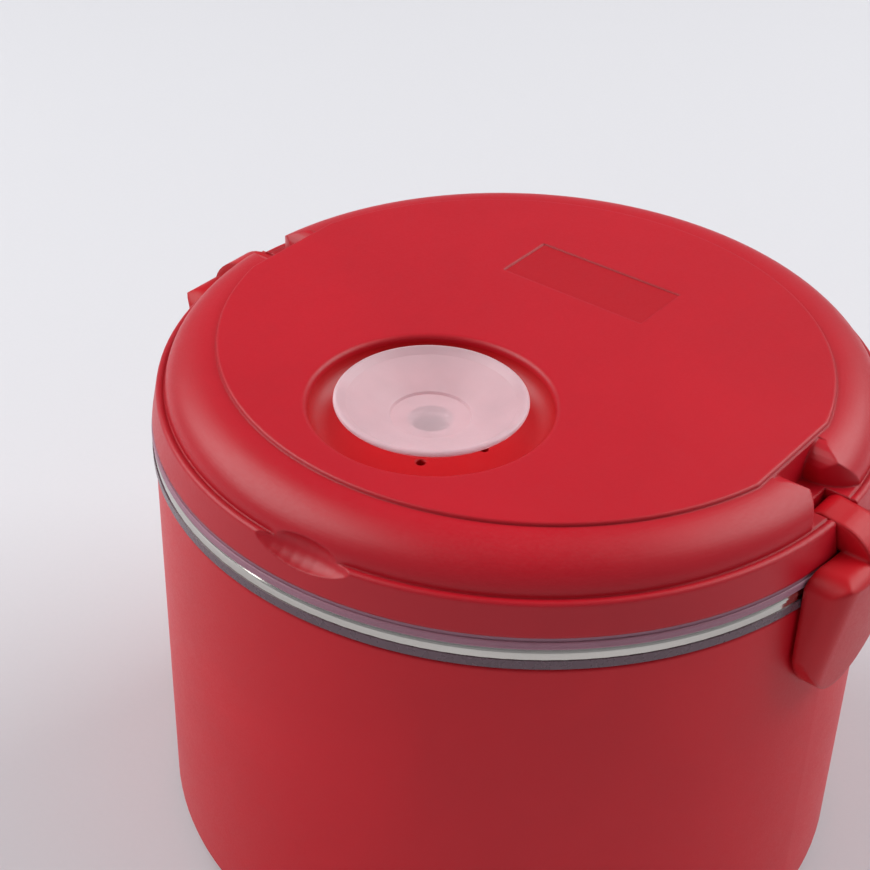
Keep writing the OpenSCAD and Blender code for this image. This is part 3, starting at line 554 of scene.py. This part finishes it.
class LUNCHBOX_OT_lid(bpy.types.Operator):
    """Finish the moulded lid, with its label recess, and its vent recess painted darker as shade
    """

    bl_idname = "lunch_box.lid"
    bl_label = "Lid"

    def execute(self, context):
        look = context.scene.lunch_box_finish
        top = LID_HIGH.z / MM
        deep, shallow = LABEL_DEPTHS
        label_low = Vector((*LABEL_LOW, top - deep)) * MM
        label_high = Vector((*LABEL_HIGH, top - shallow)) * MM
        vent = (VENT_LOW + VENT_HIGH) / 2 / MM
        deep, shallow = RECESS_DEPTHS
        recess_low = Vector((vent.x - RECESS_REACH, vent.y - RECESS_REACH, top - deep)) * MM
        recess_high = Vector((vent.x + RECESS_REACH, vent.y + RECESS_REACH, top - shallow)) * MM
        lid = moulded_polypropylene(
            "Moulded red polypropylene, lid",
            look.lid_red,
            look.lid_grain,
            spots=(
                (label_low, label_high, look.label_red),
                # The vent recess gets a darker red: painted shade under the disc, which throws no
                # shadow.
                (recess_low, recess_high, look.recess_painted_shade),
            ),
        )
        give(lid, "lid_cover")
        return {"FINISHED"}


class LUNCHBOX_OT_latches(bpy.types.Operator):
    """Finish the two latches and their hinge pins"""

    bl_idname = "lunch_box.latches"
    bl_label = "Latches"

    def execute(self, context):
        look = context.scene.lunch_box_finish
        latch = moulded_polypropylene(
            "Moulded red polypropylene, latch",
            look.latch_red,
            look.body_grain,
            edge=1.6 * MM,
            level=0.3,
        )
        give(latch, "latch_right", "latch_left")
        pin = rolled_metal("Ground steel pin", look.steel, roughness=0.25)
        give(pin, "latch_pin_right", "latch_pin_left")
        return {"FINISHED"}


class LUNCHBOX_OT_seals(bpy.types.Operator):
    """Finish the lid gasket and the inner lid plate, and add the gasket's lip"""

    bl_idname = "lunch_box.seals"
    bl_label = "Gasket and liner"

    def execute(self, context):
        look = context.scene.lunch_box_finish
        seal = silicone("Translucent silicone gasket", look.gasket, cloudiness=0.3, roughness=0.35)
        give(seal, "lid_gasket")
        side, top = GASKET_HIGH.x / MM, GASKET_HIGH.z / MM
        lip = turned_ring("gasket_lip", [(side + out, top + up) for out, up in LIP_SECTION])
        lip.data.materials.append(seal)
        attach(lip, "lid")
        liner = moulded_resin(
            "Natural polypropylene liner",
            linear("#DDD6D4"),
            grain=0.6 * MM,
            roughness=0.45,
            ior=1.49,
        )
        give(liner, "lid_liner")
        return {"FINISHED"}


class LUNCHBOX_OT_vent(bpy.types.Operator):
    """Finish the vent button, its plug and its O-ring"""

    bl_idname = "lunch_box.vent"
    bl_label = "Steam vent"

    def execute(self, context):
        look = context.scene.lunch_box_finish
        button = silicone(
            "Milky silicone button", look.vent, cloudiness=0.35, roughness=0.34, through=0.4
        )
        give(button, "vent_button")
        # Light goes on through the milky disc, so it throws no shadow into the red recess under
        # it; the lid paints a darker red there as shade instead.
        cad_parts["vent_button"].visible_shadow = False
        plug = silicone("Silicone plug", linear("#CFC6C8"), cloudiness=0.2, roughness=0.5)
        give(plug, "vent_plug")
        give(moulded_resin("Black nitrile seal", linear("#1E1E1F"), roughness=0.6), "vent_o_ring")
        return {"FINISHED"}


class LUNCHBOX_OT_bowl(bpy.types.Operator):
    """Finish the steel bowl and the smoky ring under its rim"""

    bl_idname = "lunch_box.bowl"
    bl_label = "Bowl and ring"

    def execute(self, context):
        look = context.scene.lunch_box_finish
        steel = spun_metal("Polished stainless steel", look.steel, look.brush, roughness=0.11)
        give(steel, "bowl")
        ring = clear_plastic("Smoky polypropylene ring", look.smoke, through=0.2, roughness=0.28)
        give(ring, "bowl_ring")
        return {"FINISHED"}


class LUNCHBOX_OT_housing(bpy.types.Operator):
    """Finish the housing, the base cover, the feet, and all screws and nuts"""

    bl_idname = "lunch_box.housing"
    bl_label = "Housing and base"

    def execute(self, context):
        look = context.scene.lunch_box_finish
        body = moulded_polypropylene(
            "Moulded red polypropylene, body", look.body_red, look.body_grain, level=0.3
        )
        give(body, "housing")
        base = moulded_polypropylene(
            "Textured red polypropylene, base",
            look.body_red,
            look.lid_grain,
            roughness=0.5,
            depth=0.03 * MM,
            level=0.3,
        )
        give(base, "base_cover")
        foot = moulded_resin(
            "Black rubber feet", linear("#222223"), grain=0.8 * MM, roughness=0.75
        )
        give(foot, "feet")
        screw = rolled_metal(
            "Zinc-plated screws and nuts", linear("#B9BCC0"), roughness=0.32, spangle=1.5 * MM
        )
        give(screw, "base_screws", "inlet_screws", "clamp_nut", "shield_nuts")
        return {"FINISHED"}


class LUNCHBOX_OT_heater(bpy.types.Operator):
    """Finish the heated well and everything under it"""

    bl_idname = "lunch_box.heater"
    bl_label = "Well and heater"

    def execute(self, context):
        look = context.scene.lunch_box_finish
        well = spun_metal("Drawn aluminium well", look.aluminium, look.brush, roughness=0.3)
        give(well, "well")
        plate = spun_metal(
            "Turned cast aluminium",
            look.aluminium,
            line=0.8 * MM,
            roughness=0.34,
            depth=0.01 * MM,
        )
        give(plate, "heat_plate")
        sheath = spun_metal(
            "Heat-tinted steel sheath",
            linear("#7C7671"),
            line=1.2 * MM,
            roughness=0.42,
            tint=linear("#5E4E55"),
        )
        give(sheath, "heater_element")
        sheet = rolled_metal(
            "Galvanised sheet steel", linear("#B4B7BA"), roughness=0.4, spangle=7 * MM
        )
        give(sheet, "heat_shield", "element_clamp", "fuse_clip")
        give(moulded_resin("Phenolic thermostat body", linear("#2B2422")), "thermostat")
        give(rolled_metal("Tinned fuse can", linear("#C9C8C1"), roughness=0.35), "thermal_fuse")
        return {"FINISHED"}


class LUNCHBOX_OT_inlet(bpy.types.Operator):
    """Finish the mains inlet, its blades, the wires and the pilot lamp"""

    bl_idname = "lunch_box.inlet"
    bl_label = "Inlet and wiring"

    def execute(self, context):
        look = context.scene.lunch_box_finish
        give(moulded_resin("Black moulded nylon", look.black), "inlet_socket")
        pin = rolled_metal(
            "Nickel-plated brass", linear("#CFC3A0"), roughness=0.22, spangle=2 * MM
        )
        give(pin, "inlet_pins")
        tag = rolled_metal("Bare brass tag", linear("#B8954A"), roughness=0.35, spangle=2 * MM)
        give(tag, "earth_tag")
        brown = moulded_resin("Brown wire insulation", linear("#5B3418"), roughness=0.42)
        give(brown, "wire_live", "wire_link", "wire_heater")
        blue = moulded_resin("Blue wire insulation", linear("#2A5596"), roughness=0.42)
        give(blue, "wire_neutral")
        lens = clear_plastic("Amber lamp lens", look.lamp, through=0.6, roughness=0.12)
        give(lens, "pilot_lens")
        glass = clear_plastic("Neon lamp glass", linear("#EDE3DA"), through=0.7, roughness=0.06)
        give(glass, "pilot_lamp")
        return {"FINISHED"}


# ---------------------------------------------------------------- stage


def softbox(name, place, target, size, power):
    """A rectangular area lamp that faces the target."""
    lamp = bpy.data.lights.new(name, "AREA")
    lamp.shape = "RECTANGLE"
    lamp.size, lamp.size_y = size
    lamp.energy = power
    item = bpy.data.objects.new(name, lamp)
    item.location = place
    item.rotation_euler = (target - place).to_track_quat("-Z", "Y").to_euler()
    bpy.context.scene.collection.objects.link(item)


def cove_mesh(radius, height, bend, steps=96, arc_steps=12):
    """The round floor, curved up all round into a backdrop wall."""
    line = [(radius / 4, 0.0), (radius - bend, 0.0)]
    for step in range(1, arc_steps + 1):
        turn = math.pi / 2 * step / arc_steps
        line.append((radius - bend + bend * math.sin(turn), bend - bend * math.cos(turn)))
    line.append((radius, height))
    points = [
        (r * math.cos(2 * math.pi * step / steps), r * math.sin(2 * math.pi * step / steps), z)
        for r, z in line
        for step in range(steps)
    ]
    faces = [tuple(range(steps))]
    for ring in range(len(line) - 1):
        low, high = ring * steps, (ring + 1) * steps
        for step in range(steps):
            after = (step + 1) % steps
            faces.append((low + step, high + step, high + after, low + after))
    mesh = bpy.data.meshes.new("Floor and backdrop")
    mesh.from_pydata(points, [], faces)
    mesh.polygons.foreach_set("use_smooth", [True] * len(faces))
    return mesh


def studio_room(name, sky, dark):
    """A world that gives an even fill light, and is darker where a gloss mirrors it."""
    world = bpy.data.worlds.new(name)
    world.use_nodes = True
    tree = world.node_tree
    tree.nodes.clear()
    mirrored = add(tree, "ShaderNodeLightPath").outputs["Is Glossy Ray"]
    strength = add(
        tree, "ShaderNodeMath", {0: mirrored, 1: dark - sky, 2: sky}, operation="MULTIPLY_ADD"
    ).outputs[0]
    room = add(
        tree, "ShaderNodeBackground", {"Color": (1.0, 1.0, 1.0, 1.0), "Strength": strength}
    )
    add(tree, "ShaderNodeOutputWorld", {"Surface": room.outputs[0]})
    return world


def photo_camera(stage, heading):
    """The camera at the photograph's place, with its lens and shift."""
    lens = bpy.data.cameras.new("Camera")
    lens.sensor_width = SENSOR_WIDTH
    lens.lens = stage.lens
    lens.shift_x, lens.shift_y = stage.shift
    lens.clip_start = NEAREST_SEEN
    camera = bpy.data.objects.new("Camera", lens)
    camera.matrix_world = (
        Matrix.Translation(stage.eye)
        @ heading
        @ Matrix.Rotation(math.pi / 2 - stage.pitch, 4, "X")
        @ Matrix.Rotation(stage.roll, 4, "Z")
    )
    bpy.context.scene.collection.objects.link(camera)
    return camera


class LUNCHBOX_OT_stage(bpy.types.Operator):
    """Set up the floor, the lamps and the camera"""

    bl_idname = "lunch_box.stage"
    bl_label = "Stage"

    def execute(self, context):
        scene = context.scene
        stage = scene.lunch_box_stage

        floor = bpy.data.objects.new(
            "Floor and backdrop", cove_mesh(COVE_RADIUS, COVE_HEIGHT, COVE_BEND)
        )
        floor.data.materials.append(background_paper("Pale background paper", stage.floor))
        scene.collection.objects.link(floor)

        heading = Matrix.Rotation(stage.heading, 4, "Z")
        middle = Vector((0, 0, (CAD_BOX[0][2] + CAD_BOX[1][2]) / 2))
        left = heading @ Vector(LEFT_PLACE)
        softbox("Left softbox", left, middle, LEFT_SIZE, stage.left)
        right = heading @ Vector(RIGHT_PLACE)
        softbox("Right softbox", right, middle, RIGHT_SIZE, stage.right)

        scene.world = studio_room("Dim studio room", stage.sky, stage.dark)
        scene.camera = photo_camera(stage, heading)
        scene.view_settings.view_transform = "Standard"
        return {"FINISHED"}


# ---------------------------------------------------------------- add-on

PIECES = (
    LUNCHBOX_OT_lid,
    LUNCHBOX_OT_latches,
    LUNCHBOX_OT_seals,
    LUNCHBOX_OT_vent,
    LUNCHBOX_OT_bowl,
    LUNCHBOX_OT_housing,
    LUNCHBOX_OT_heater,
    LUNCHBOX_OT_inlet,
    LUNCHBOX_OT_stage,
)


class LUNCHBOX_PT_panel(bpy.types.Panel):
    """Sidebar panel with the operators and their settings"""

    bl_label = "Lunch Box"
    bl_idname = "LUNCHBOX_PT_panel"
    bl_space_type = "VIEW_3D"
    bl_region_type = "UI"
    bl_category = "Lunch Box"

    def draw(self, context):
        for group in (context.scene.lunch_box_finish, context.scene.lunch_box_stage):
            box = self.layout.box()
            for name in group.__annotations__:
                box.prop(group, name)
        for piece in PIECES:
            self.layout.operator(piece.bl_idname)


CLASSES = (LunchBoxFinish, LunchBoxStage, *PIECES, LUNCHBOX_PT_panel)


def register():
    """Registers the classes and hangs the settings on the scene."""
    for cls in CLASSES:
        bpy.utils.register_class(cls)
    bpy.types.Scene.lunch_box_finish = bpy.props.PointerProperty(type=LunchBoxFinish)
    bpy.types.Scene.lunch_box_stage = bpy.props.PointerProperty(type=LunchBoxStage)


def unregister():
    """Removes the settings and the classes."""
    del bpy.types.Scene.lunch_box_stage
    del bpy.types.Scene.lunch_box_finish
    for cls in reversed(CLASSES):
        bpy.utils.unregister_class(cls)


def main():
    """Builds the looks and the stage."""
    register()
    bpy.ops.lunch_box.lid()
    bpy.ops.lunch_box.latches()
    bpy.ops.lunch_box.seals()
    bpy.ops.lunch_box.vent()
    bpy.ops.lunch_box.bowl()
    bpy.ops.lunch_box.housing()
    bpy.ops.lunch_box.heater()
    bpy.ops.lunch_box.inlet()
    bpy.ops.lunch_box.stage()


if __name__ == "__main__":
    main()
